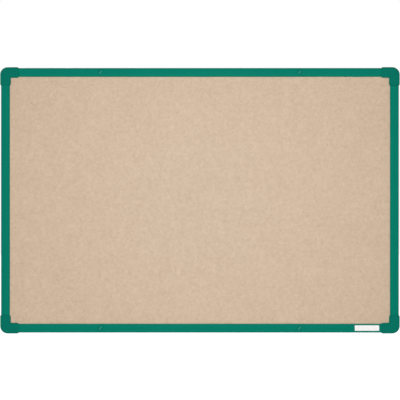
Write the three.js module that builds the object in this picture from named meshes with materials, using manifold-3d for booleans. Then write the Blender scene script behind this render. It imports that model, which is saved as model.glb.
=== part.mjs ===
import * as THREE from "three";
import { mergeVertices } from "three/addons/utils/BufferGeometryUtils.js";
import Module from "manifold-3d";

// A wall-hung fabric notice board. Millimetres, X to the right, Z up, the wall at y = 0 and the
// front towards -Y. The origin is the centre of the back plane.

// Overall size, over the corner pieces
const boardWidth = 900;
const boardHeight = 600;

// Panel: backing sheet, softboard core and felt, glued to each other
const backingThickness = 0.5;
const coreThickness = 10;
const feltThickness = 1.5;
const feltNip = 0.3;
const feltRise = 1.2;
const feltRiseClearance = 0.3;
const glueFilm = 0.2;
const panelDepthClearance = 0.2;
const panelEdgeClearance = 0.5;

// Extruded rails
const railFace = 20;
const railWall = 1.3;
const railEdgeRadius = 1.6;
const railBackRadius = 0.5;
const faceCrown = 0.6;
const lipThickness = 1.6;
const channelReach = 4.3;
const rearFlangeSetback = 1;
const chamberFillet = 0.8;

// Moulded corner pieces
const sleeveWall = 1.7;
const sleeveClearance = 0.3;
const legLength = 42;
const outerCornerRadius = 17;
const innerCornerRadius = 2;
const legEndRadius = 4;
const cornerEdgeRound = 3;
const mouldWall = 2;
const ribThickness = 1.6;
const ribSetback = 1.2;
const slotClearance = 0.3;

// Tongues of the corner pieces, inside the rails
const tonguePastLeg = 12;
const tongueClearance = 0.3;
const tongueLeadIn = 2;
const tongueTaper = 0.8;
const tongueFillet = 0.8;
const tongueWall = 1.6;
const tongueWeb = 2;
const tongueTip = 3;
const tongueBays = 3;
const bossRadius = 3;
const pilotSpare = 1;

// Screws that hold each rail end to a tongue, from behind
const screwPastLeg = 6;
const screwShankRadius = 1.45;
const screwLength = 8;
const screwPoint = 2;
const screwTipRadius = 0.3;
const screwHeadRadius = 2.7;
const screwHeadHeight = 1.55;
const screwHeadRim = 0.6;
const screwHeadGap = 0.2;
const screwHoleClearance = 0.2;
const recessLength = 3;
const recessWidth = 0.7;
const recessDepth = 0.9;

// Wall-screw holes through the top and bottom rails, and the caps that cover them
const fixingPlaceShare = 0.25;
const capHoleRadius = 4;
const wallScrewHoleRadius = 2.5;
const wallScrewSeatDepth = 0.3;
const capRadius = 5.5;
const capRim = 0.5;
const capDome = 0.9;
const capSeatGap = 0.2;
const capStemRadius = 3.6;
const capStemWall = 1;
const capBarbRadius = 3.8;
const capBarbGap = 0.3;
const capBarbLength = 0.5;
const capStemLength = 5;
const capTipRadius = 3.2;
const capSlitWidth = 1.2;
const capSlotLength = 8.4;
const capSlotWidth = 1.8;
const capSlotDepth = 0.8;
const capSlotAngle = 50;

// Fineness of the round stretches
const bendSteps = 5;
const crownSteps = 6;
const roundSides = 20;
const screwSides = 12;
const domeSteps = 3;
const edgeSteps = 4;
const arcHandleShare = 0.5523;
const overrun = 1;

// Sizes that follow
const feltEdgeThickness = feltThickness - feltNip;
const channelDepth =
  backingThickness + coreThickness + feltEdgeThickness + 2 * glueFilm + 2 * panelDepthClearance;
const lipUnderside = railWall + channelDepth;
const faceEdgeHeight = lipUnderside + lipThickness;
const railDepth = faceEdgeHeight + faceCrown;
const sleeveStep = sleeveWall + sleeveClearance;
const boardDepth = railDepth + 2 * sleeveStep;
const legFace = railFace + 2 * sleeveStep;
const railEnd = legFace + sleeveClearance;
const tongueLength = legLength - legFace + tonguePastLeg;
const screwSetback = legLength + screwPastLeg;
const channelStart = railFace - channelReach;
const chamberEnd = channelStart - railWall;
const chamberMiddle = (railWall + chamberEnd) / 2;
const chamberCeiling = faceEdgeHeight - railWall;
const fixingPlace = fixingPlaceShare * (boardWidth - 2 * sleeveStep);
const panelInset = sleeveStep + channelStart + panelEdgeClearance;
const panelWidth = boardWidth - 2 * panelInset;
const panelHeight = boardHeight - 2 * panelInset;
const panelBack = sleeveStep + railWall + panelDepthClearance;
const coreBack = panelBack + backingThickness + glueFilm;
const feltBack = coreBack + coreThickness + glueFilm;
const feltEdgeFront = feltBack + feltEdgeThickness;
const feltRiseInset = legFace + feltRiseClearance;

// Finishes
const finishes = {
  rail: { color: 0x027b66, roughness: 0.42, metalness: 0 },
  corner: { color: 0x05705f, roughness: 0.5, metalness: 0 },
  cap: { color: 0x0b7a66, roughness: 0.35, metalness: 0 },
  felt: { color: 0xd2bba2, roughness: 1, metalness: 0 },
  softboard: { color: 0x9c7c58, roughness: 0.9, metalness: 0 },
  galvanised: { color: 0xb4b8ba, roughness: 0.4, metalness: 1 },
  zinc: { color: 0xc4c6c8, roughness: 0.35, metalness: 1 },
};
const materials = Object.fromEntries(
  Object.entries(finishes).map(([name, finish]) => [name, new THREE.MeshStandardMaterial(finish)]),
);

const wasm = await Module();
wasm.setup();

// Solids from geometries and back

function solid(geometry) {
  const bare = geometry.clone();
  bare.deleteAttribute("normal");
  bare.deleteAttribute("uv");
  const merged = mergeVertices(bare);
  const vertProperties = Float32Array.from(merged.attributes.position.array);
  const triVerts = Uint32Array.from(merged.index.array);
  return new wasm.Manifold(new wasm.Mesh({ numProp: 3, vertProperties, triVerts }));
}

function geometryOf(shapeSolid) {
  const { vertProperties, triVerts } = shapeSolid.getMesh();
  const geometry = new THREE.BufferGeometry();
  geometry.setAttribute("position", new THREE.BufferAttribute(vertProperties, 3));
  geometry.setIndex(new THREE.BufferAttribute(triVerts, 1));
  geometry.computeVertexNormals();
  return geometry;
}

function mesh(name, shapeSolid, finish) {
  const piece = new THREE.Mesh(geometryOf(shapeSolid), materials[finish]);
  piece.name = name;
  return piece;
}

function boxBetween(low, high) {
  const size = high.map((value, axis) => value - low[axis]);
  const middle = high.map((value, axis) => (value + low[axis]) / 2);
  return solid(new THREE.BoxGeometry(...size).translate(...middle));
}

// A turned solid about the Y axis, from points of radius and height
function turned(points, sides) {
  const outline = points.map(([radius, height]) => new THREE.Vector2(radius, height));
  return solid(new THREE.LatheGeometry(outline, sides));
}

// A round hole or boss along Y, centred at x and z
function roundAlongY(radius, sides, x, z, low, high) {
  const length = high - low;
  const geometry = new THREE.CylinderGeometry(radius, radius, length, sides);
  return solid(geometry.translate(x, low + length / 2, z));
}

// Shapes

// A quarter circle from the path's last point, inside a square corner, to an end point
function quarterRound(path, cornerX, cornerY, endX, endY) {
  const { x, y } = path.currentPoint;
  path.bezierCurveTo(
    x + arcHandleShare * (cornerX - x),
    y + arcHandleShare * (cornerY - y),
    endX + arcHandleShare * (cornerX - endX),
    endY + arcHandleShare * (cornerY - endY),
    endX,
    endY,
  );
}

// A rectangle with one radius on its two lower corners and another on its two upper ones.
// The top edge may be crowned.
function roundedShape(left, bottom, right, top, lowRadius, highRadius, crown = 0) {
  const shape = new THREE.Shape();
  shape.moveTo(left + lowRadius, bottom);
  shape.lineTo(right - lowRadius, bottom);
  quarterRound(shape, right, bottom, right, bottom + lowRadius);
  shape.lineTo(right, top - highRadius);
  quarterRound(shape, right, top, right - highRadius, top);
  if (crown > 0) {
    shape.quadraticCurveTo((left + right) / 2, top + 2 * crown, left + highRadius, top);
  } else {
    shape.lineTo(left + highRadius, top);
  }
  quarterRound(shape, left, top, left, top - highRadius);
  shape.lineTo(left, bottom + lowRadius);
  quarterRound(shape, left, bottom, left + lowRadius, bottom);
  return shape;
}

function rectangle(left, bottom, right, top) {
  const corners = [[left, bottom], [right, bottom], [right, top], [left, top]];
  return new THREE.Shape(corners.map((corner) => new THREE.Vector2(...corner)));
}

// Outer outline of a rail's section, from its outer side inwards and from its back forwards,
// larger by grow all round
function railOutline(grow) {
  return roundedShape(
    -grow,
    -grow,
    railFace + grow,
    faceEdgeHeight + grow,
    railBackRadius + grow,
    railEdgeRadius + grow,
    faceCrown,
  );
}

// A section extruded along a rail. Its first axis goes inwards from the board's edge and its
// second one forwards. Along X the edge is the bottom one, and along Z it is the left one.
const sectionFrames = {
  x: [new THREE.Vector3(0, 0, 1), new THREE.Vector3(0, -1, 0), new THREE.Vector3(1, 0, 0)],
  z: [new THREE.Vector3(1, 0, 0), new THREE.Vector3(0, -1, 0), new THREE.Vector3(0, 0, -1)],
};

function extrusion(shape, axis, from, to, options = {}) {
  const settings = { depth: to - from, bevelEnabled: false, curveSegments: bendSteps, ...options };
  const geometry = new THREE.ExtrudeGeometry(shape, settings);
  geometry.applyMatrix4(new THREE.Matrix4().makeBasis(...sectionFrames[axis]));
  return axis === "x" ? geometry.translate(from, 0, 0) : geometry.translate(0, 0, to);
}

function bar(shape, axis, from, to, options = {}) {
  return solid(extrusion(shape, axis, from, to, options));
}

// Rails

// A rail along X, centred on the origin, its section's back outer corner at y = 0 and z = 0.
// The drill that opens its front wall for a cap also faces a seat for the wall screw's head.
function railSolid(span, fixings) {
  const length = span - 2 * railEnd;
  const [from, to] = [-length / 2, length / 2];
  const [cutFrom, cutTo] = [from - overrun, to + overrun];
  const chamber = roundedShape(
    railWall,
    railWall,
    chamberEnd,
    chamberCeiling,
    chamberFillet,
    chamberFillet,
    faceCrown,
  );
  let rail = bar(railOutline(0), "x", from, to, { curveSegments: crownSteps });
  rail = rail.subtract(bar(chamber, "x", cutFrom, cutTo, { curveSegments: crownSteps }));
  rail = rail.subtract(
    boxBetween([cutFrom, -lipUnderside, channelStart], [cutTo, -railWall, railFace + overrun]),
  );
  const flangeEnd = railFace - rearFlangeSetback;
  rail = rail.subtract(
    boxBetween([cutFrom, -lipUnderside, flangeEnd], [cutTo, overrun, railFace + overrun]),
  );
  const backWall = [-railWall - overrun, overrun];
  const seatAndFrontWall = [-railDepth - overrun, -railWall + wallScrewSeatDepth];
  const screwHole = screwShankRadius + screwHoleClearance;
  for (const hand of [-1, 1]) {
    const screwPlace = hand * (span / 2 - screwSetback);
    rail = rail.subtract(
      roundAlongY(screwHole, screwSides, screwPlace, chamberMiddle, ...backWall),
    );
    if (fixings) {
      const place = [hand * fixingPlace, railFace / 2];
      rail = rail.subtract(roundAlongY(wallScrewHoleRadius, roundSides, ...place, ...backWall));
      rail = rail.subtract(roundAlongY(capHoleRadius, roundSides, ...place, ...seatAndFrontWall));
    }
  }
  return rail;
}

// Corner pieces

// Plan of a corner piece, its outer corner at the origin and its legs along +X and +Z
function cornerPlan() {
  const bend = outerCornerRadius;
  const inner = legFace + innerCornerRadius;
  const end = legLength - legEndRadius;
  const plan = new THREE.Shape();
  plan.moveTo(bend, 0);
  plan.lineTo(end, 0);
  quarterRound(plan, legLength, 0, legLength, legEndRadius);
  plan.lineTo(legLength, legFace - legEndRadius);
  quarterRound(plan, legLength, legFace, end, legFace);
  plan.lineTo(inner, legFace);
  quarterRound(plan, legFace, legFace, legFace, inner);
  plan.lineTo(legFace, end);
  quarterRound(plan, legFace, legLength, legFace - legEndRadius, legLength);
  plan.lineTo(legEndRadius, legLength);
  quarterRound(plan, 0, legLength, 0, end);
  plan.lineTo(0, bend);
  plan.absarc(bend, bend, bend, Math.PI, 1.5 * Math.PI, false);
  return plan;
}

// A plan shape extruded forwards from one depth to another
function forward(shape, from, to, options = {}) {
  const settings = { depth: to - from, bevelEnabled: false, curveSegments: bendSteps, ...options };
  const geometry = new THREE.ExtrudeGeometry(shape, settings);
  return solid(geometry.rotateX(Math.PI / 2).translate(0, -from, 0));
}

// The L-shaped shell, rounded over at its front edges and flat at the back
function cornerShell() {
  const round = cornerEdgeRound;
  const shell = forward(cornerPlan(), -round, boardDepth - round, {
    bevelEnabled: true,
    bevelThickness: round,
    bevelSize: round,
    bevelOffset: -round,
    bevelSegments: edgeSteps,
  });
  const reach = legLength + overrun;
  return shell.subtract(boxBetween([-overrun, 0, -overrun], [reach, 2 * round + overrun, reach]));
}

// The block of a corner piece is cored out from behind, with ribs left standing
function coring() {
  const far = legFace - mouldWall;
  const bend = outerCornerRadius - mouldWall;
  const floor = boardDepth - mouldWall;
  const plan = new THREE.Shape();
  plan.moveTo(mouldWall + bend, mouldWall);
  plan.lineTo(far, mouldWall);
  plan.lineTo(far, far);
  plan.lineTo(mouldWall, far);
  plan.lineTo(mouldWall, mouldWall + bend);
  plan.absarc(mouldWall + bend, mouldWall + bend, bend, Math.PI, 1.5 * Math.PI, false);
  const half = ribThickness / 2;
  const ribFoot = -floor - overrun;
  const ribHeight = -ribSetback - ribFoot;
  const diagonal = new THREE.BoxGeometry(legFace * Math.SQRT2, ribHeight, ribThickness);
  diagonal.rotateY(-Math.PI / 4).translate(legFace / 2, ribFoot + ribHeight / 2, legFace / 2);
  const line = sleeveStep + chamberMiddle;
  const ribs = [
    solid(diagonal),
    boxBetween([0, ribFoot, line - half], [legFace, -ribSetback, line + half]),
    boxBetween([line - half, ribFoot, 0], [line + half, -ribSetback, legFace]),
  ];
  return ribs.reduce((cut, rib) => cut.subtract(rib), forward(plan, -overrun, floor));
}

// One tongue: a ribbed plug that fits a rail's chamber, tapered at its tip, with a boss for the screw
function tongue(axis) {
  const root = legFace - mouldWall / 2;
  const tip = legFace + tongueLength;
  const left = sleeveStep + railWall + tongueClearance;
  const right = sleeveStep + chamberEnd - tongueClearance;
  const back = sleeveStep + railWall + tongueClearance;
  const front = sleeveStep + chamberCeiling - tongueClearance;
  const middle = (back + front) / 2;
  const section = roundedShape(left, back, right, front, tongueFillet, tongueFillet);
  const outline = [
    [root, left],
    [tip - tongueLeadIn, left],
    [tip, left + tongueTaper],
    [tip, right - tongueTaper],
    [tip - tongueLeadIn, right],
    [root, right],
  ];
  const taper = new THREE.Shape(outline.map((point) => inPlan(point, axis)));
  let plug = bar(section, axis, root, tip).intersect(forward(taper, 0, boardDepth));
  const bay = (tongueLength - tongueTip) / tongueBays;
  const [hollowLeft, hollowRight] = [left + tongueWall, right - tongueWall];
  const half = tongueWeb / 2;
  const hollowBack = rectangle(hollowLeft, back - overrun, hollowRight, middle - half);
  const hollowFront = rectangle(hollowLeft, middle + half, hollowRight, front + overrun);
  for (let i = 0; i < tongueBays; i += 1) {
    const from = legFace + i * bay + (i > 0 ? ribThickness / 2 : 0);
    const to = legFace + (i + 1) * bay - ribThickness / 2;
    plug = plug.subtract(bar(hollowBack, axis, from, to)).subtract(bar(hollowFront, axis, from, to));
  }
  const screwPlace = inPlan([screwSetback, sleeveStep + chamberMiddle], axis);
  const screwTip = sleeveStep - screwHeadGap + screwLength;
  const pilot = screwShankRadius + screwHoleClearance;
  plug = plug.add(roundAlongY(bossRadius, roundSides, screwPlace.x, screwPlace.y, -front, -back));
  return plug.subtract(
    roundAlongY(pilot, screwSides, screwPlace.x, screwPlace.y, -screwTip - pilotSpare, overrun),
  );
}

// A point along and across a leg, as X and Z of the corner piece
function inPlan([along, across], axis) {
  return axis === "x" ? new THREE.Vector2(along, across) : new THREE.Vector2(across, along);
}

function cornerSolid() {
  const pocket = railOutline(sleeveClearance);
  const reach = legLength + overrun;
  const slotStart = panelInset - slotClearance;
  let corner = cornerShell();
  for (const axis of ["x", "z"]) {
    const inset = axis === "x" ? [0, -sleeveStep, sleeveStep] : [sleeveStep, -sleeveStep, 0];
    const section = extrusion(pocket, axis, legFace, reach, { curveSegments: crownSteps });
    corner = corner.subtract(solid(section.translate(...inset)));
  }
  corner = corner.subtract(coring());
  corner = corner.subtract(
    boxBetween(
      [slotStart, -feltEdgeFront - slotClearance, slotStart],
      [reach, -panelBack + slotClearance, reach],
    ),
  );
  for (const axis of ["x", "z"]) {
    corner = corner.add(tongue(axis));
  }
  return corner;
}

// Screws, along Y with the head towards the wall, the seat under the head at y = 0

function screwSolid() {
  const head = [];
  for (let i = 0; i <= domeSteps; i += 1) {
    const angle = (i / domeSteps) * (Math.PI / 2);
    head.push([
      screwHeadRadius * Math.cos(angle),
      screwHeadRim + (screwHeadHeight - screwHeadRim) * Math.sin(angle),
    ]);
  }
  head[domeSteps][0] = 0;
  const screw = turned(
    [
      [0, -screwLength],
      [screwTipRadius, -screwLength],
      [screwShankRadius, -screwLength + screwPoint],
      [screwShankRadius, 0],
      [screwHeadRadius, 0],
      ...head,
    ],
    screwSides,
  );
  const half = [recessLength / 2, recessWidth / 2];
  const [low, high] = [screwHeadHeight - recessDepth, screwHeadHeight + overrun];
  const slotAcross = boxBetween([-half[0], low, -half[1]], [half[0], high, half[1]]);
  const slotUpright = boxBetween([-half[1], low, -half[0]], [half[1], high, half[0]]);
  return screw.subtract(slotAcross).subtract(slotUpright);
}

// Cover caps, along Y with the dome towards -Y and the rail's face at y = 0

function capSolid() {
  const wallBack = railDepth - chamberCeiling;
  const barbTop = wallBack + capBarbGap;
  const rimTop = capSeatGap + capRim;
  const dome = [];
  for (let i = domeSteps; i >= 0; i -= 1) {
    const angle = (i / domeSteps) * (Math.PI / 2);
    dome.push([capRadius * Math.cos(angle), -rimTop - capDome * Math.sin(angle)]);
  }
  dome[0][0] = 0;
  const cap = turned(
    [
      ...dome,
      [capRadius, -capSeatGap],
      [capStemRadius, -capSeatGap],
      [capStemRadius, barbTop],
      [capBarbRadius, barbTop],
      [capBarbRadius, barbTop + capBarbLength],
      [capTipRadius, capStemLength],
      [capTipRadius - capStemWall, capStemLength],
      [capStemRadius - capStemWall, barbTop],
      [capStemRadius - capStemWall, 0],
      [0, 0],
    ],
    roundSides,
  );
  const slitReach = capBarbRadius + overrun;
  const slitEnd = capStemLength + overrun;
  const half = capSlitWidth / 2;
  const slitUpright = boxBetween([-half, capStemWall, -slitReach], [half, slitEnd, slitReach]);
  const slitAcross = boxBetween([-slitReach, capStemWall, -half], [slitReach, slitEnd, half]);
  return cap.subtract(slitUpright).subtract(slitAcross).subtract(capSlot(rimTop + capDome));
}

// The slot across a cap, with a round bottom, leaning up to the right
function capSlot(top) {
  const half = capSlotWidth / 2;
  const groove = new THREE.Shape();
  groove.moveTo(-half, top);
  groove.quadraticCurveTo(0, top - 2 * capSlotDepth, half, top);
  groove.lineTo(half, top + overrun);
  groove.lineTo(-half, top + overrun);
  const length = extrusion(groove, "x", -capSlotLength / 2, capSlotLength / 2);
  return solid(length.rotateY(-THREE.MathUtils.degToRad(capSlotAngle)));
}

// Panel

function panelLayer(back, thickness) {
  const half = [panelWidth / 2, panelHeight / 2];
  return boxBetween([-half[0], -back - thickness, -half[1]], [half[0], -back, half[1]]);
}

// The felt is pressed thinner under the rails' lips and the corner pieces, and stands at its
// full thickness inside them
function feltSolid() {
  const across = boardWidth / 2 - feltRiseInset;
  const up = boardHeight / 2 - feltRiseInset;
  const round = innerCornerRadius;
  const open = roundedShape(-across, -up, across, up, round, round);
  const rise = forward(open, feltBack, feltEdgeFront, {
    bevelEnabled: true,
    bevelThickness: feltNip,
    bevelSize: feltRise,
    bevelOffset: -feltRise,
    bevelSegments: domeSteps,
  });
  const layer = panelLayer(feltBack, feltEdgeThickness);
  return layer.add(rise.intersect(panelLayer(feltBack, feltThickness)));
}

// Assembly

const board = new THREE.Group();

board.add(
  mesh("backing_sheet", panelLayer(panelBack, backingThickness), "galvanised"),
  mesh("softboard_core", panelLayer(coreBack, coreThickness), "softboard"),
  mesh("felt_face", feltSolid(), "felt"),
);

// Each side is drawn as the bottom one and turned about Y in quarter turns. Its ends are named
// in the order of its own X.
const level = { span: boardWidth, reach: boardHeight / 2, fixings: true };
const upright = { span: boardHeight, reach: boardWidth / 2, fixings: false };
const sides = [
  { name: "bottom", turns: 0, ends: ["left", "right"], ...level },
  { name: "left", turns: 1, ends: ["top", "bottom"], ...upright },
  { name: "top", turns: 2, ends: ["right", "left"], ...level },
  { name: "right", turns: 3, ends: ["bottom", "top"], ...upright },
];

for (const { name, turns, span, reach, fixings, ends } of sides) {
  const angle = (turns * Math.PI) / 2;
  const side = new THREE.Group();
  side.rotation.y = angle;
  side.position.set(-reach * Math.sin(angle), 0, -reach * Math.cos(angle));
  const rail = mesh(`rail_${name}`, railSolid(span, fixings), "rail");
  rail.position.set(0, -sleeveStep, sleeveStep);
  side.add(rail);
  ends.forEach((end, i) => {
    const hand = 2 * i - 1;
    const screw = mesh(`screw_${name}_${end}`, screwSolid(), "zinc");
    screw.position.set(
      hand * (span / 2 - screwSetback),
      -sleeveStep + screwHeadGap,
      sleeveStep + chamberMiddle,
    );
    side.add(screw);
    if (fixings) {
      const cap = mesh(`cover_cap_${name}_${end}`, capSolid(), "cap");
      cap.position.set(hand * fixingPlace, -sleeveStep - railDepth, sleeveStep + railFace / 2);
      side.add(cap);
    }
  });
  board.add(side);
}

const corners = [
  { name: "corner_bottom_left", turns: 0, right: -1, up: -1 },
  { name: "corner_top_left", turns: 1, right: -1, up: 1 },
  { name: "corner_top_right", turns: 2, right: 1, up: 1 },
  { name: "corner_bottom_right", turns: 3, right: 1, up: -1 },
];

for (const { name, turns, right, up } of corners) {
  const corner = mesh(name, cornerSolid(), "corner");
  corner.rotation.y = (turns * Math.PI) / 2;
  corner.position.set((right * boardWidth) / 2, 0, (up * boardHeight) / 2);
  board.add(corner);
}

export default board;
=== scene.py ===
import math

import bmesh
import bpy
import numpy as np
from mathutils import Matrix, Vector, noise
from mathutils.bvhtree import BVHTree


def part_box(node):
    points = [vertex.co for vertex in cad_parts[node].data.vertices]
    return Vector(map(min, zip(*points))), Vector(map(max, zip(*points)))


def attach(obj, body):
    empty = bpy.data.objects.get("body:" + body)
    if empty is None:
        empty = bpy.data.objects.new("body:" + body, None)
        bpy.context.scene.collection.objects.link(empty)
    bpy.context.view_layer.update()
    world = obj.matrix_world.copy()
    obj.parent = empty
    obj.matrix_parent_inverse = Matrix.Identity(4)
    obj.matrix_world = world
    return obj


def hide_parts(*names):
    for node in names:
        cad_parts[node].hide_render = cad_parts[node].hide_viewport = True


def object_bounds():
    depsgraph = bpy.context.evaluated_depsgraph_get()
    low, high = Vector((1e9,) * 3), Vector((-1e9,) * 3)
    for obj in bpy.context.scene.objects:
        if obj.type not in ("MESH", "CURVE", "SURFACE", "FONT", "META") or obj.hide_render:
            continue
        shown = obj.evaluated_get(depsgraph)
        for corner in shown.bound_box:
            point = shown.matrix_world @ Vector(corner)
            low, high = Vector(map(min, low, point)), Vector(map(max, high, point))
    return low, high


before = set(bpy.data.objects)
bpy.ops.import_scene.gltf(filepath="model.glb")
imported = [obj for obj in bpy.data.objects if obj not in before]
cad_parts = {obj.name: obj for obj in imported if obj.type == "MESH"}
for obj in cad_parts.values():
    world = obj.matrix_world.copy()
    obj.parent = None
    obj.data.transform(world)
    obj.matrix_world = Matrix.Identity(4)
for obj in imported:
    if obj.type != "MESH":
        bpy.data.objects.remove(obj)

# A wall-hung fabric notice board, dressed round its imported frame. Metres, X to the viewer's
# right, Z up, the wall at y = 0 and the front towards -Y.

MM = 0.001
BODY = "board"
# Each quarter of the board has a corner piece and a cover cap
QUARTERS = [f"{level}_{hand}" for level in ("top", "bottom") for hand in ("left", "right")]
packed_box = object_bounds()

# Colours, linear
COAT = (0.0004, 0.19, 0.13)
CORNER = (0.0005, 0.163, 0.114)
# The caps' green, set darker than the coating: painted shade for the dark ring round each cap
CAP = (0.0006, 0.166, 0.118)
# The slots' floor, painted lighter than the cap: a painted highlight where the slot catches the
# light
CAP_SLOT_HIGHLIGHT = (0.03, 0.385, 0.289)
FELT_LIGHT = (0.681, 0.536, 0.405)
FELT_DEEP = (0.57, 0.427, 0.303)
# How much warmer the felt is painted towards the frame: a painted sheen, which leaves the middle
# paler
FELT_PAINTED_SHEEN_TINT = (1.035, 0.995, 0.965)
FELT_PALE = (0.76, 0.63, 0.5)
FELT_DARK = (0.4, 0.29, 0.19)
SOFTBOARD = (0.33, 0.2, 0.1)
STEEL = (0.43, 0.445, 0.455)
ZINC = (0.6, 0.61, 0.62)
LABEL = (0.93, 0.93, 0.92)
FLOOR = (0.8, 0.8, 0.8)
WHITE = (1.0, 1.0, 1.0)


# Materials

# What noise averages, and the span that most of it fills
NOISE_MEAN = 0.5
NOISE_LOW, NOISE_HIGH = 0.3, 0.7


class Finish:
    """A material's nodes. Textures take the object's own place, in metres."""

    def __init__(self, name, **constants):
        self.material = bpy.data.materials.new(name)
        self.material.use_nodes = True
        self.tree = self.material.node_tree
        self.shader = self.tree.nodes["Principled BSDF"]
        for socket, value in constants.items():
            self.set(socket.replace("_", " "), value)
        self.place = self.tree.nodes.new("ShaderNodeTexCoord").outputs["Object"]

    def set(self, socket, value):
        """Sets a socket of the shader to a constant, or joins it to a node's output."""
        found = next(s for s in self.shader.inputs if s.name.lower() == socket.lower())
        if isinstance(value, bpy.types.NodeSocket):
            self.tree.links.new(value, found)
        elif isinstance(value, tuple):
            found.default_value = (*value, 1.0)
        else:
            found.default_value = value

    def node(self, kind, inputs, **settings):
        made = self.tree.nodes.new(kind)
        for key, value in settings.items():
            setattr(made, key, value)
        for key, value in inputs.items():
            if isinstance(value, bpy.types.NodeSocket):
                self.tree.links.new(value, made.inputs[key])
            else:
                made.inputs[key].default_value = value
        return made

    def math(self, operation, *values):
        made = self.node("ShaderNodeMath", dict(enumerate(values)), operation=operation)
        return made.outputs["Value"]

    def vector(self, operation, *vectors, output="Vector", **inputs):
        inputs.update(enumerate(vectors))
        return self.node("ShaderNodeVectorMath", inputs, operation=operation).outputs[output]

    def noise(self, size, detail=3.0, roughness=0.5, distortion=0.0, place=None, output="Fac"):
        """Noise from 0 to 1 whose largest features are about size metres."""
        inputs = {
            "Vector": place or self.place,
            "Scale": 1 / size,
            "Detail": detail,
            "Roughness": roughness,
            "Distortion": distortion,
        }
        return self.node("ShaderNodeTexNoise", inputs).outputs[output]

    def cells(self, size, place):
        """A random colour for each cell of about size metres."""
        inputs = {"Vector": place, "Scale": 1 / size}
        return self.node("ShaderNodeTexVoronoi", inputs).outputs["Color"]

    def stretched(self, times, turn):
        """The place, drawn out this many times along a line in the board's plane."""
        inputs = {"Vector": self.place, "Scale": (times, 1.0, 1.0), "Rotation": (0.0, turn, 0.0)}
        return self.node("ShaderNodeMapping", inputs, vector_type="TEXTURE").outputs["Vector"]

    def span(self, value, low, high, start=0.0, end=1.0):
        """Value brought from start..end to low..high, and held there."""
        inputs = {"Value": value, "From Min": start, "From Max": end, "To Min": low, "To Max": high}
        return self.node("ShaderNodeMapRange", inputs).outputs["Result"]

    def uneven(self, size, low, high):
        """A value that wanders between low and high over patches of about size metres."""
        return self.span(self.noise(size), low, high, NOISE_LOW, NOISE_HIGH)

    def fibres(self, size, width, turn):
        """Thin wandering lines, 1 along their middle: where a drawn-out noise crosses its mean."""
        along = self.stretched(times=3.5, turn=turn)
        wave = self.noise(size, detail=1, distortion=0.6, place=along)
        off = self.math("ABSOLUTE", self.math("SUBTRACT", wave, NOISE_MEAN))
        return self.span(off, low=1.0, high=0.0, start=0.0, end=width)

    def most(self, *values):
        top = values[0]
        for value in values[1:]:
            top = self.math("MAXIMUM", top, value)
        return top

    def mixed(self, *shares):
        """A sum of values, each times its share."""
        total = 0.0
        for value, share in shares:
            total = self.math("MULTIPLY_ADD", value, share, total)
        return total

    def toned(self, colour, value, spread):
        """The colour, lighter and darker by up to spread as value goes from 0 to 1."""
        return self.vector("SCALE", colour, Scale=self.span(value, 1 - spread, 1 + spread))

    def blended(self, share, first, second):
        inputs = {"Factor": share, "A": first, "B": second}
        return self.node("ShaderNodeMix", inputs, data_type="RGBA").outputs["Result"]

    def bump(self, height, distance, below=None):
        """The normal of a relief that stands up to distance metres, over the relief below it."""
        inputs = {"Height": height, "Distance": distance, "Strength": 1.0}
        if below is not None:
            inputs["Normal"] = below
        return self.node("ShaderNodeBump", inputs).outputs["Normal"]


def powder_coat():
    """Satin powder coating: an even green with a fine orange peel."""
    f = Finish("powder_coat", specular_ior_level=0.05)
    f.set("base color", f.toned(COAT, f.noise(60 * MM, detail=2), spread=0.04))
    f.set("roughness", f.uneven(4 * MM, low=0.4, high=0.45))
    peel = f.bump(f.noise(1.6 * MM, detail=1), distance=0.012 * MM)
    f.set("normal", f.bump(f.noise(0.35 * MM, detail=2), distance=0.004 * MM, below=peel))
    return f.material


def moulded_plastic():
    """Corner pieces: spark-eroded mould texture, a shade darker than the coating."""
    f = Finish("moulded_plastic", specular_ior_level=0.05)
    f.set("base color", f.toned(CORNER, f.noise(25 * MM, detail=2), spread=0.05))
    f.set("roughness", f.uneven(2 * MM, low=0.46, high=0.6))
    f.set("normal", f.bump(f.noise(0.5 * MM, roughness=0.6), distance=0.018 * MM))
    return f.material


def cap_plastic(name, colour, roughness, grain):
    """Cover caps, and the floor of their slots painted lighter as a highlight. Grain is the height
    of the texture.
    """
    f = Finish(name, specular_ior_level=0.07)
    f.set("base color", f.toned(colour, f.noise(3 * MM), spread=0.06))
    f.set("roughness", f.uneven(1 * MM, low=roughness - 0.05, high=roughness + 0.05))
    f.set("normal", f.bump(f.noise(0.3 * MM), distance=grain))
    return f.material


# The felt's clouds, coarse to fine: their size, share and warp
FELT_CLOUDS = (
    (34 * MM, 0.16, 0.0),
    (17 * MM, 0.18, 0.4),
    (8.5 * MM, 0.43, 0.5),
    (4.2 * MM, 0.21, 0.5),
)
# The ways that its paler and darker fibres lie, in radians
PALE_TURNS = (0.2, 1.1, 1.9, 2.7)
DARK_TURNS = (0.7, 1.6, 2.4)


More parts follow.
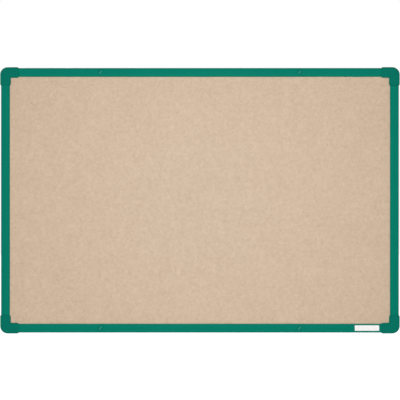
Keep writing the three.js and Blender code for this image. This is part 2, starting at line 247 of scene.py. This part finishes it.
def felt_cloth():
    """Needled felt: clouded tones, painted slightly warmer towards the frame so that its middle
    looks paler as under a sheen, and a nap of paler and darker fibres that lie every way."""
    f = Finish(
        "felt_cloth",
        roughness=1.0,
        specular_ior_level=0.1,
        sheen_weight=0.08,
        sheen_roughness=0.6,
    )
    clouds = f.mixed(
        *[(f.noise(size, detail=1, distortion=warp), share) for size, share, warp in FELT_CLOUDS]
    )
    tone = f.span(clouds, 0.0, 1.0, NOISE_LOW, NOISE_HIGH)
    shade = f.blended(tone, (*FELT_DEEP, 1.0), (*FELT_LIGHT, 1.0))
    # Painted sheen: the felt warms from the middle outwards, so that the middle looks paler
    from_middle = f.vector("LENGTH", f.place, output="Value")
    outer = f.span(from_middle, 0.0, 1.0, start=0.1, end=0.5)
    shade = f.blended(outer, shade, f.vector("MULTIPLY", shade, FELT_PAINTED_SHEEN_TINT))
    matted = f.noise(0.9 * MM, roughness=0.6, distortion=1.0)
    wool = f.toned(shade, matted, spread=0.12)
    pale = f.most(*[f.fibres(2.2 * MM, width=0.025, turn=turn) for turn in PALE_TURNS])
    dark = f.most(*[f.fibres(3.1 * MM, width=0.022, turn=turn) for turn in DARK_TURNS])
    wool = f.blended(f.span(dark, low=0.0, high=0.38), wool, (*FELT_DARK, 1.0))
    wool = f.blended(f.span(pale, low=0.0, high=0.42), wool, (*FELT_PALE, 1.0))
    f.set("base color", wool)
    nap = f.bump(f.mixed((matted, 0.8), (pale, 0.25), (dark, 0.2)), distance=0.3 * MM)
    f.set("normal", f.bump(clouds, distance=0.8 * MM, below=nap))
    return f.material


def softboard():
    """Pressed wood fibre with coarse chips."""
    f = Finish("softboard", roughness=0.95, specular_ior_level=0.15)
    chips = f.noise(2.5 * MM, detail=5, roughness=0.7)
    f.set("base color", f.toned(SOFTBOARD, chips, spread=0.35))
    f.set("normal", f.bump(chips, distance=0.4 * MM))
    return f.material


def galvanised():
    """Hot-dip galvanised sheet: spangle of a few millimetres, each crystal its own tone and
    feathered by fine needles."""
    f = Finish("galvanised", metallic=1.0)
    jag = f.vector("SCALE", f.noise(3 * MM, output="Color"), Scale=2.4 * MM)
    crystals = f.cells(5.5 * MM, place=f.vector("ADD", f.place, jag))
    channels = f.node("ShaderNodeSeparateColor", {"Color": crystals}).outputs
    tone = channels["Red"]
    needles = f.noise(0.7 * MM, place=f.stretched(times=4, turn=0.6))
    f.set("base color", f.toned(f.toned(STEEL, tone, spread=0.09), needles, spread=0.12))
    rough = f.mixed((channels["Green"], 0.14), (f.noise(40 * MM), 0.1), (needles, 0.12))
    smoothest = 0.2
    f.set("roughness", f.math("ADD", rough, smoothest))
    f.set("normal", f.bump(tone, distance=0.01 * MM))
    return f.material


def zinc():
    """The screws' bright zinc plating."""
    f = Finish("zinc", metallic=1.0)
    f.set("base color", f.toned(ZINC, f.noise(1.5 * MM), spread=0.1))
    f.set("roughness", f.uneven(0.8 * MM, low=0.25, high=0.42))
    return f.material


def label_film():
    """The label's white film, with a faint unevenness."""
    f = Finish("label_film", specular_ior_level=0.3)
    f.set("base color", f.toned(LABEL, f.noise(12 * MM), spread=0.01))
    f.set("roughness", f.uneven(3 * MM, low=0.35, high=0.45))
    f.set("normal", f.bump(f.noise(1.5 * MM), distance=0.003 * MM))
    return f.material


# Meshes

CREASE = math.radians(35)
WELD = 0.001 * MM
FLAT = math.radians(0.2)
FACE_WEIGHT = 100


def piece(name, bm, materials, body, replaces=()):
    """A shown piece of the object, riding on a body."""
    mesh = bpy.data.meshes.new(name)
    bm.to_mesh(mesh)
    bm.free()
    for material in materials:
        mesh.materials.append(material)
    made = bpy.data.objects.new(name, mesh)
    bpy.context.scene.collection.objects.link(made)
    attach(made, body)
    if replaces:
        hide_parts(*replaces)
    return made


def smoothed(bm):
    """Shades round stretches smooth and keeps creases sharp."""
    for face in bm.faces:
        face.smooth = True
    for edge in bm.edges:
        edge.smooth = len(edge.link_faces) == 2 and edge.calc_face_angle(0) < CREASE


def refined_copy(name, node, material, body):
    """A node's own shape as a clean mesh: flat facets joined, round ones shaded smooth, and the
    normals at a rim set by the large flat face beside it."""
    bm = bmesh.new()
    bm.from_mesh(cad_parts[node].data)
    bmesh.ops.remove_doubles(bm, verts=bm.verts, dist=WELD)
    bmesh.ops.dissolve_limit(bm, angle_limit=FLAT, verts=bm.verts, edges=bm.edges)
    smoothed(bm)
    made = piece(name, bm, [material], body, [node])
    modifier = made.modifiers.new("weighted", "WEIGHTED_NORMAL")
    modifier.keep_sharp = True
    modifier.weight = FACE_WEIGHT


# Sheets

HILL_FADE = 0.8
HILL_STEP = 2.0
HILL_LAYERS = 3


def slab(front, back):
    """A closed body between two grids of as many points, joined along their rims."""
    bm = bmesh.new()
    rims = []
    for grid in (front, back):
        rows = [[bm.verts.new(point) for point in row] for row in grid]
        for row, above in zip(rows, rows[1:]):
            for k in range(len(row) - 1):
                bm.faces.new((row[k], row[k + 1], above[k + 1], above[k]))
        sides = [[row[end] for row in rows[1:-1]] for end in (-1, 0)]
        rims.append([*rows[0], *sides[0], *reversed(rows[-1]), *reversed(sides[1])])
    for k in range(len(rims[0])):
        bm.faces.new((rims[0][k - 1], rims[0][k], rims[1][k], rims[1][k - 1]))
    bmesh.ops.recalc_face_normals(bm, faces=bm.faces)
    smoothed(bm)
    return bm


def hills(x, z, size):
    """Smooth ups and downs of about this size, from -1 to 1."""
    return noise.fractal(Vector((x, z, 0)) / size, HILL_FADE, HILL_STEP, HILL_LAYERS)


def eased_step(value):
    """0 up to 0, 1 from 1 on, and a smooth S between them."""
    held = np.clip(value, 0, 1)
    return held * held * (3 - 2 * held)


def freedom(xs, zs, start, width):
    """How free each point [z, x] of a grid is of its rim: 0 within start of it, and 1 from width
    further in."""
    inward = [np.minimum(places - places[0], places[-1] - places) for places in (zs, xs)]
    return np.minimum.outer(*[eased_step((inset - start) / width) for inset in inward])


def spaced(low, high, fine_length, fine_steps, step):
    """Places from low to high, close together near both ends."""
    ramp = [low + fine_length * i / fine_steps for i in range(fine_steps)]
    count = round((high - low - 2 * fine_length) / step)
    middle = np.linspace(low + fine_length, high - fine_length, count + 1)
    return np.array([*ramp, *middle, *[low + high - r for r in reversed(ramp)]])


FELT_NIP = 0.3 * MM
FELT_RISE = 3.5 * MM
FELT_HILL = 0.05 * MM
FELT_HILL_SIZE = 14 * MM
FELT_MARGIN = 0.02 * MM
FELT_STEP = 4.5 * MM
FELT_EDGE_SPARE = 1 * MM
FELT_EDGE_STEPS = 10


def felt_piece(material):
    """The felt as one closed cloth. It is pressed flat under the lips and swells to its full
    thickness over the few millimetres beside them, with the slight hills of needled felt."""
    low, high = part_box("felt_face")
    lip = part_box("rail_left")[1].x - low.x
    edge = lip + FELT_RISE + FELT_EDGE_SPARE
    xs = spaced(low.x, high.x, edge, FELT_EDGE_STEPS, FELT_STEP)
    zs = spaced(low.z, high.z, edge, FELT_EDGE_STEPS, FELT_STEP)
    full = freedom(xs, zs, lip, FELT_RISE)

    def depth(j, i):
        dip = FELT_HILL * (1 - hills(xs[i], zs[j], FELT_HILL_SIZE)) / 2
        return low.y + FELT_MARGIN + FELT_NIP * (1 - full[j, i]) + max(0.0, dip) * full[j, i]

    front = [[(x, depth(j, i), z) for i, x in enumerate(xs)] for j, z in enumerate(zs)]
    back = [[(x, high.y, z) for x in xs] for z in zs]
    made = piece("felt_cloth", slab(front, back), [material], BODY, ["felt_face"])


BUCKLE = 0.35 * MM
BUCKLE_SIZE = 130 * MM
BUCKLE_INSET = 12 * MM
BUCKLE_RISE = 70 * MM
SHEET_STEP = 12 * MM


def backing_piece(material):
    """The backing sheet, flat in the rails' channels and slightly buckled between them, as thin
    sheet metal is."""
    low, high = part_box("backing_sheet")
    xs, zs = [
        np.linspace(start, end, round((end - start) / SHEET_STEP) + 1)
        for start, end in ((low.x, high.x), (low.z, high.z))
    ]
    loose = freedom(xs, zs, BUCKLE_INSET, BUCKLE_RISE)

    def lift(j, i):
        return BUCKLE * loose[j, i] * (1 + hills(xs[i], zs[j], BUCKLE_SIZE)) / 2

    front, back = [
        [[(x, y + lift(j, i), z) for i, x in enumerate(xs)] for j, z in enumerate(zs)]
        for y in (low.y, high.y)
    ]
    shape = slab(front, back)
    piece("galvanised_sheet", shape, [material], BODY, ["backing_sheet"])


# Turned and cut pieces

# A smaller radius lies on the axis
ON_AXIS = 1e-6 * MM


def lathe(outline, sides):
    """Turns points of radius and depth about the Y axis. The outline starts and ends on it, and
    a radius may be a function of the angle."""
    bm = bmesh.new()
    angles = [2 * math.pi * k / sides for k in range(sides)]
    rings = []
    for radius, y in outline:
        if not callable(radius) and radius < ON_AXIS:
            rings.append([bm.verts.new((0, y, 0))] * sides)
            continue
        reach = [radius(a) if callable(radius) else radius for a in angles]
        rings.append(
            [bm.verts.new((r * math.sin(a), y, r * math.cos(a))) for r, a in zip(reach, angles)]
        )
    for ring, after in zip(rings, rings[1:]):
        for k in range(sides):
            corners = [ring[k], ring[(k + 1) % sides], after[(k + 1) % sides], after[k]]
            bm.faces.new(list(dict.fromkeys(corners)))
    bmesh.ops.recalc_face_normals(bm, faces=bm.faces)
    return bm


def arc(centre, radii, start, end, steps):
    """Points of an ellipse's stretch, in degrees, as radius and depth."""
    angles = [math.radians(start + (end - start) * i / steps) for i in range(steps + 1)]
    return [
        (centre[0] + radii[0] * math.cos(a), centre[1] + radii[1] * math.sin(a)) for a in angles
    ]


def stacked(outlines, depths):
    """A closed body through outlines of as many points (x, z), each at its depth along Y."""
    bm = bmesh.new()
    rings = [
        [bm.verts.new((x, y, z)) for x, z in outline] for outline, y in zip(outlines, depths)
    ]
    for ring, after in zip(rings, rings[1:]):
        for k in range(len(ring)):
            n = (k + 1) % len(ring)
            bm.faces.new((ring[k], ring[n], after[n], after[k]))
    bm.faces.new(rings[0])
    bm.faces.new(rings[-1])
    bmesh.ops.recalc_face_normals(bm, faces=bm.faces)
    return bm


def carved(bm, cutter, materials):
    """Cuts one closed mesh out of another. The cut's faces take the last of the materials."""
    for face in cutter.faces:
        face.material_index = len(materials) - 1
    holders = []
    for part in (bm, cutter):
        mesh = bpy.data.meshes.new("carving")
        part.to_mesh(mesh)
        part.free()
        for material in materials:
            mesh.materials.append(material)
        holders.append(bpy.data.objects.new("carving", mesh))
        bpy.context.scene.collection.objects.link(holders[-1])
    cut = holders[0].modifiers.new("cut", "BOOLEAN")
    cut.object = holders[1]
    cut.operation = "DIFFERENCE"
    cut.solver = "EXACT"
    result = bmesh.new()
    result.from_object(holders[0], bpy.context.evaluated_depsgraph_get())
    for holder in holders:
        bpy.data.meshes.remove(holder.data)
    return result


def eased(bm, width):
    """Rounds the edges between faces of two materials."""
    edges = [e for e in bm.edges if len({f.material_index for f in e.link_faces}) > 1]
    bmesh.ops.bevel(bm, geom=edges, offset=width, segments=2, affect="EDGES", profile=0.5)


def placed(bm, spot, turn=0.0):
    """A shape turned about Y and moved to its spot."""
    move = Matrix.Translation(spot) @ Matrix.Rotation(turn, 4, "Y")
    bmesh.ops.transform(bm, matrix=move, verts=bm.verts)
    return bm


# Caps

CAP_SIDES = 64
CAP_RADIUS = 5.5 * MM
CAP_RIM = 0.5 * MM
CAP_DOME = 0.9 * MM
CAP_LIFT = 0.2 * MM
CAP_EDGE = 0.15 * MM
STEM_RADIUS = 3.6 * MM
STEM_BORE = 2.6 * MM
STEM_LENGTH = 5 * MM
STEM_ROOT = 0.3 * MM
STEM_TIP = 0.4 * MM
BARB = 0.2 * MM
BARB_START = 2.2 * MM
SLIT_LENGTH = 3 * STEM_RADIUS
SLIT_WIDTH = 1.2 * MM
SLIT_START = 1 * MM
SLOT_LENGTH = 8.4 * MM
SLOT_WIDTH = 1.8 * MM
SLOT_DEPTH = 0.8 * MM
SLOT_ROUND = 0.55 * MM
SLOT_EASE = 0.1 * MM
SLOT_ANGLE = 50


def stadium(length, width, turn, steps=8):
    """The outline of a slot with round ends, as points (x, z)."""
    radius = width / 2
    reach = length / 2 - radius
    points = []
    for end in (1, -1):
        for i in range(steps + 1):
            a = math.radians(180 * i / steps - 90) + (0 if end == 1 else math.pi)
            points.append((end * reach + radius * math.cos(a), radius * math.sin(a)))
    c, s = math.cos(math.radians(turn)), math.sin(math.radians(turn))
    return [(x * c - z * s, x * s + z * c) for x, z in points]


def cap_outline():
    """Half of the cap's section: a domed head with a rounded rim and a hollow barbed stem."""
    rim = -CAP_LIFT - CAP_RIM
    edge = (CAP_RADIUS - CAP_EDGE, -CAP_LIFT - CAP_EDGE)
    root = (STEM_RADIUS + STEM_ROOT, -CAP_LIFT + STEM_ROOT)
    barb = STEM_RADIUS + BARB
    tip = (barb - STEM_TIP - BARB, STEM_LENGTH - STEM_TIP)
    return [
        *arc((0, rim), (CAP_RADIUS, -CAP_DOME), 90, 0, steps=14),
        *arc(edge, (CAP_EDGE, CAP_EDGE), 0, 90, steps=3),
        *arc(root, (-STEM_ROOT, -STEM_ROOT), 90, 0, steps=3),
        (STEM_RADIUS, BARB_START - BARB),
        *arc((STEM_RADIUS, BARB_START + BARB), (BARB, BARB), -90, 0, steps=3),
        (barb, BARB_START + 2 * BARB),
        *arc(tip, (STEM_TIP, STEM_TIP), 0, 90, steps=3),
        (STEM_BORE - STEM_TIP, STEM_LENGTH),
        (STEM_BORE, BARB_START),
        (STEM_BORE, 0),
        (0, 0),
    ]


def cap_shape(materials):
    """A snap-in cover cap about its own axis, its seat at zero depth and its dome towards -Y."""
    bm = lathe(cap_outline(), CAP_SIDES)
    top = -CAP_LIFT - CAP_RIM - CAP_DOME
    floor = top + SLOT_DEPTH
    fillet = arc((0, floor - SLOT_ROUND), (SLOT_ROUND, SLOT_ROUND), 0, 90, steps=5)
    insets = [(0, top - SLOT_DEPTH)] + [(SLOT_ROUND - r, y) for r, y in fillet]
    outlines = [stadium(SLOT_LENGTH - 2 * i, SLOT_WIDTH - 2 * i, SLOT_ANGLE) for i, _ in insets]
    bm = carved(bm, stacked(outlines, [y for _, y in insets]), materials)
    eased(bm, SLOT_EASE)
    for turn in (0, 90):
        slit = stadium(SLIT_LENGTH, SLIT_WIDTH, turn, steps=1)
        cutter = stacked([slit, slit], (SLIT_START, STEM_LENGTH + SLIT_START))
        bm = carved(bm, cutter, materials[:1])
    smoothed(bm)
    return bm


# Screws

SCREW_SIDES = 32
SCREW_LENGTH = 8 * MM
SCREW_POINT = 2 * MM
SCREW_CREST = 1.45 * MM
SCREW_CORE = 1.05 * MM
SCREW_SHANK = 1.15 * SCREW_CORE
SCREW_PITCH = 1.1 * MM
SCREW_NECK = 0.6 * MM
# How much of the core is left at the point, and how steeply the crest falls within a turn
SCREW_TIP_SHARE = 0.12
SCREW_CREST_FALL = 3
SCREW_STEPS_PER_TURN = 8
# The further turn from one screw to the next, as each was driven home to an angle of its own
SCREW_TURN = math.radians(137.5)
HEAD_RADIUS = 2.7 * MM
HEAD_RIM = 0.6 * MM
HEAD_HEIGHT = 1.55 * MM
HEAD_FOOT = 0.15 * MM
RECESS_REACH = 1.5 * MM
RECESS_WIDTH = 0.7 * MM
RECESS_DEPTH = 1.1 * MM
RECESS_OVER = 0.3 * MM
# The shares of the recess's reach and width over the head, and at its floor
RECESS_TAPER = ((1.15, 1.15), (0.55, 0.6))


def thread_radius(depth, angle):
    """How far the thread reaches at a depth and an angle: a sharp crest over a round core."""
    turns = depth / SCREW_PITCH + angle / (2 * math.pi)
    crest = max(0.0, 1 - SCREW_CREST_FALL * abs(turns % 1 - 0.5))
    taper = min(1.0, (SCREW_LENGTH - depth) / SCREW_POINT)
    start = min(1.0, max(0.0, (depth - SCREW_NECK) / SCREW_PITCH))
    core = SCREW_CORE * (SCREW_TIP_SHARE + (1 - SCREW_TIP_SHARE) * taper)
    return core + (SCREW_CREST - SCREW_CORE) * crest * start * taper


def cross(reach, half_width):
    """The outline of a cross recess, as points (x, z)."""
    quarter = [(half_width, reach), (-half_width, reach), (-half_width, half_width)]
    points = []
    for _ in range(4):
        points += quarter
        quarter = [(-z, x) for x, z in quarter]
    return points


def screw_shape(material):
    """A small self-tapping screw: pan head with a cross recess to +Y, thread to -Y."""
    outline = [
        *arc((0, HEAD_RIM), (HEAD_RADIUS, HEAD_HEIGHT - HEAD_RIM), 90, 0, steps=8),
        *arc((HEAD_RADIUS - HEAD_FOOT, HEAD_FOOT), (HEAD_FOOT, -HEAD_FOOT), 0, 90, steps=3),
        (SCREW_SHANK, 0.0),
    ]
    steps = round(SCREW_LENGTH / SCREW_PITCH * SCREW_STEPS_PER_TURN)
    for i in range(1, steps):
        depth = SCREW_LENGTH * i / steps
        outline.append((lambda a, d=depth: thread_radius(d, a), -depth))
    outline.append((0, -SCREW_LENGTH))
    bm = lathe(outline, SCREW_SIDES)
    rings = [cross(RECESS_REACH * reach, RECESS_WIDTH / 2 * width) for reach, width in RECESS_TAPER]
    depths = (HEAD_HEIGHT + RECESS_OVER, HEAD_HEIGHT - RECESS_DEPTH)
    bm = carved(bm, stacked(rings, depths), [material])
    smoothed(bm)
    return bm


# Label

LABEL_LENGTH = 55 * MM
LABEL_HEIGHT = 12.4 * MM
LABEL_ROUND = 1.2 * MM
LABEL_THICKNESS = 0.12 * MM
LABEL_GLUE = 0.04 * MM
LABEL_CENTRE_X = 376 * MM
LABEL_RAISE = 0.3 * MM
LABEL_ROUND_STEPS = 5
LABEL_ROWS = 12
LABEL_COLUMNS = 30


def label_piece(material):
    """A bare self-adhesive label with rounded corners, which lies on the rail's crowned face."""
    low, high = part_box("rail_bottom")
    middle = (low.z + high.z) / 2 + LABEL_RAISE
    before_rail = 2 * low.y
    rail = bmesh.new()
    rail.from_mesh(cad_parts["rail_bottom"].data)
    surface = BVHTree.FromBMesh(rail)
    rail.free()

    def face(z):
        hit = surface.ray_cast(Vector((LABEL_CENTRE_X, before_rail, z)), Vector((0, 1, 0)))
        return hit[0].y - LABEL_GLUE

    quarter = [math.radians(90 * i / LABEL_ROUND_STEPS) for i in range(LABEL_ROUND_STEPS + 1)]
    top = LABEL_HEIGHT / 2 - LABEL_ROUND
    ends = [(top + LABEL_ROUND * math.sin(a), LABEL_ROUND * (1 - math.cos(a))) for a in quarter]
    levels = [(-z, inset) for z, inset in reversed(ends)]
    levels += [(z, 0) for z in np.linspace(-top, top, LABEL_ROWS)[1:-1]] + ends
    columns = np.linspace(-1, 1, LABEL_COLUMNS)

    def grid(lift):
        rows = []
        for z, inset in levels:
            half = LABEL_LENGTH / 2 - inset
            y = face(middle + z) - lift
            rows.append([(LABEL_CENTRE_X + c * half, y, middle + z) for c in columns])
        return rows

    piece("blank_label", slab(grid(LABEL_THICKNESS), grid(0)), [material], BODY)


# The photograph's view: square on, 400 pixels wide, at this real size for a pixel

PHOTO_WIDTH = 400
PIXEL = 2.2507 * MM
BOARD_CENTRE_PIXEL = (199.95, 200.32)
SENSOR = 36
LENS = 200
WORLD_LEVEL = 0.2
FLOOR_HEIGHT = -0.62
FLOOR_REACH = 20
FLOOR_SQUARES = 8


def camera():
    """Square on, from far off, with the board where the photograph has it."""
    data = bpy.data.cameras.new("camera")
    data.sensor_width = SENSOR
    data.lens = LENS
    data.clip_start, data.clip_end = 0.1, 100
    view = bpy.data.objects.new("camera", data)
    bpy.context.scene.collection.objects.link(view)
    front = packed_box[0].y
    middle = PHOTO_WIDTH / 2
    view.location = (
        (middle - BOARD_CENTRE_PIXEL[0]) * PIXEL,
        front - PHOTO_WIDTH * PIXEL * LENS / SENSOR,
        (BOARD_CENTRE_PIXEL[1] - middle) * PIXEL,
    )
    view.rotation_euler = (math.pi / 2, 0, 0)
    bpy.context.scene.camera = view


def area_lamp(name, place, size, level, glossy=True):
    """A square lamp aimed at the board's middle, which adds about this level on a face turned
    to it."""
    light = bpy.data.lights.new(name, "AREA")
    light.shape = "SQUARE"
    light.size = size
    light.energy = level * (math.pi * Vector(place).length) ** 2
    lamp = bpy.data.objects.new(name, light)
    lamp.location = place
    lamp.rotation_mode = "QUATERNION"
    lamp.rotation_quaternion = (-lamp.location).to_track_quat("-Z", "Y")
    lamp.visible_camera = False
    lamp.visible_glossy = glossy
    bpy.context.scene.collection.objects.link(lamp)


def seen_directly(tree):
    """1 for camera, glossy and transmission rays, and 0 for the light that falls on things."""
    path = tree.nodes.new("ShaderNodeLightPath")
    value = path.outputs["Is Camera Ray"]
    for ray in ("Is Glossy Ray", "Is Transmission Ray"):
        joined = tree.nodes.new("ShaderNodeMath")
        joined.operation = "MAXIMUM"
        tree.links.new(value, joined.inputs[0])
        tree.links.new(path.outputs[ray], joined.inputs[1])
        value = joined.outputs["Value"]
    return value


def white_world():
    """A soft light from all round, which looks plain white where it is seen."""
    world = bpy.data.worlds.new("studio")
    bpy.context.scene.world = world
    world.use_nodes = True
    tree = world.node_tree
    soft = tree.nodes["Background"]
    white = tree.nodes.new("ShaderNodeBackground")
    for background, strength in ((soft, WORLD_LEVEL), (white, 1.0)):
        background.inputs["Color"].default_value = (*WHITE, 1.0)
        background.inputs["Strength"].default_value = strength
    mix = tree.nodes.new("ShaderNodeMixShader")
    tree.links.new(seen_directly(tree), mix.inputs["Fac"])
    tree.links.new(soft.outputs["Background"], mix.inputs[1])
    tree.links.new(white.outputs["Background"], mix.inputs[2])
    tree.links.new(mix.outputs["Shader"], tree.nodes["World Output"].inputs["Surface"])


def studio_floor():
    """A wide pale floor. It keeps the soft shadow near the board and is white further off."""
    bm = bmesh.new()
    bmesh.ops.create_grid(
        bm, x_segments=FLOOR_SQUARES, y_segments=FLOOR_SQUARES, size=FLOOR_REACH
    )
    mesh = bpy.data.meshes.new("floor")
    bm.to_mesh(mesh)
    bm.free()
    f = Finish(
        "floor", base_color=FLOOR, emission_color=WHITE, roughness=0.8, specular_ior_level=0.1
    )
    distance = f.vector("LENGTH", f.place, output="Value")
    glow = f.span(distance, low=0.2, high=1.0, start=0.4, end=2.5)
    f.set("emission strength", f.math("MULTIPLY", glow, seen_directly(f.tree)))
    mesh.materials.append(f.material)
    floor = bpy.data.objects.new("floor", mesh)
    floor.location = (0, 0, FLOOR_HEIGHT)
    bpy.context.scene.collection.objects.link(floor)


def studio():
    """The light, the floor and the plain colour view."""
    white_world()
    area_lamp("front", place=(0.045, -1.1, 0.095), size=0.5, level=0.46, glossy=False)
    area_lamp("key", place=(-1.7, -2.6, 1.4), size=1.4, level=0.23)
    area_lamp("fill", place=(1.9, -2.6, 0.9), size=1.4, level=0.17)
    area_lamp("rear", place=(-0.9, 2.6, 1.5), size=1.4, level=0.75)
    studio_floor()
    bpy.context.view_layer.update()
    bpy.context.scene.view_settings.view_transform = "Standard"


# Assembly

camera()

coat = powder_coat()
for side in ("top", "bottom", "left", "right"):
    refined_copy(f"coated_rail_{side}", f"rail_{side}", coat, BODY)

plastic = moulded_plastic()
for place in QUARTERS:
    refined_copy(f"moulded_corner_{place}", f"corner_{place}", plastic, BODY)

felt_piece(felt_cloth())

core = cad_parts["softboard_core"]
core.data.materials.clear()
core.data.materials.append(softboard())

backing_piece(galvanised())

screw_metal = zinc()
screws = sorted(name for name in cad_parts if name.startswith("screw_"))
for count, node in enumerate(screws):
    low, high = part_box(node)
    seat = ((low.x + high.x) / 2, low.y + SCREW_LENGTH, (low.z + high.z) / 2)
    shape = placed(screw_shape(screw_metal), seat, turn=SCREW_TURN * count)
    piece(f"zinc_{node}", shape, [screw_metal], BODY, [node])

cap_finish = [
    cap_plastic("cap_plastic", CAP, roughness=0.35, grain=0.004 * MM),
    # The slots' floors take a painted highlight
    cap_plastic("cap_slot_painted_highlight", CAP_SLOT_HIGHLIGHT, roughness=0.45, grain=0.02 * MM),
]
for place in QUARTERS:
    node = f"cover_cap_{place}"
    low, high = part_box(node)
    seat = ((low.x + high.x) / 2, high.y - STEM_LENGTH, (low.z + high.z) / 2)
    shape = placed(cap_shape(cap_finish), seat)
    piece(f"snap_cap_{place}", shape, cap_finish, f"cap_{place}", [node])

label_piece(label_film())

studio()
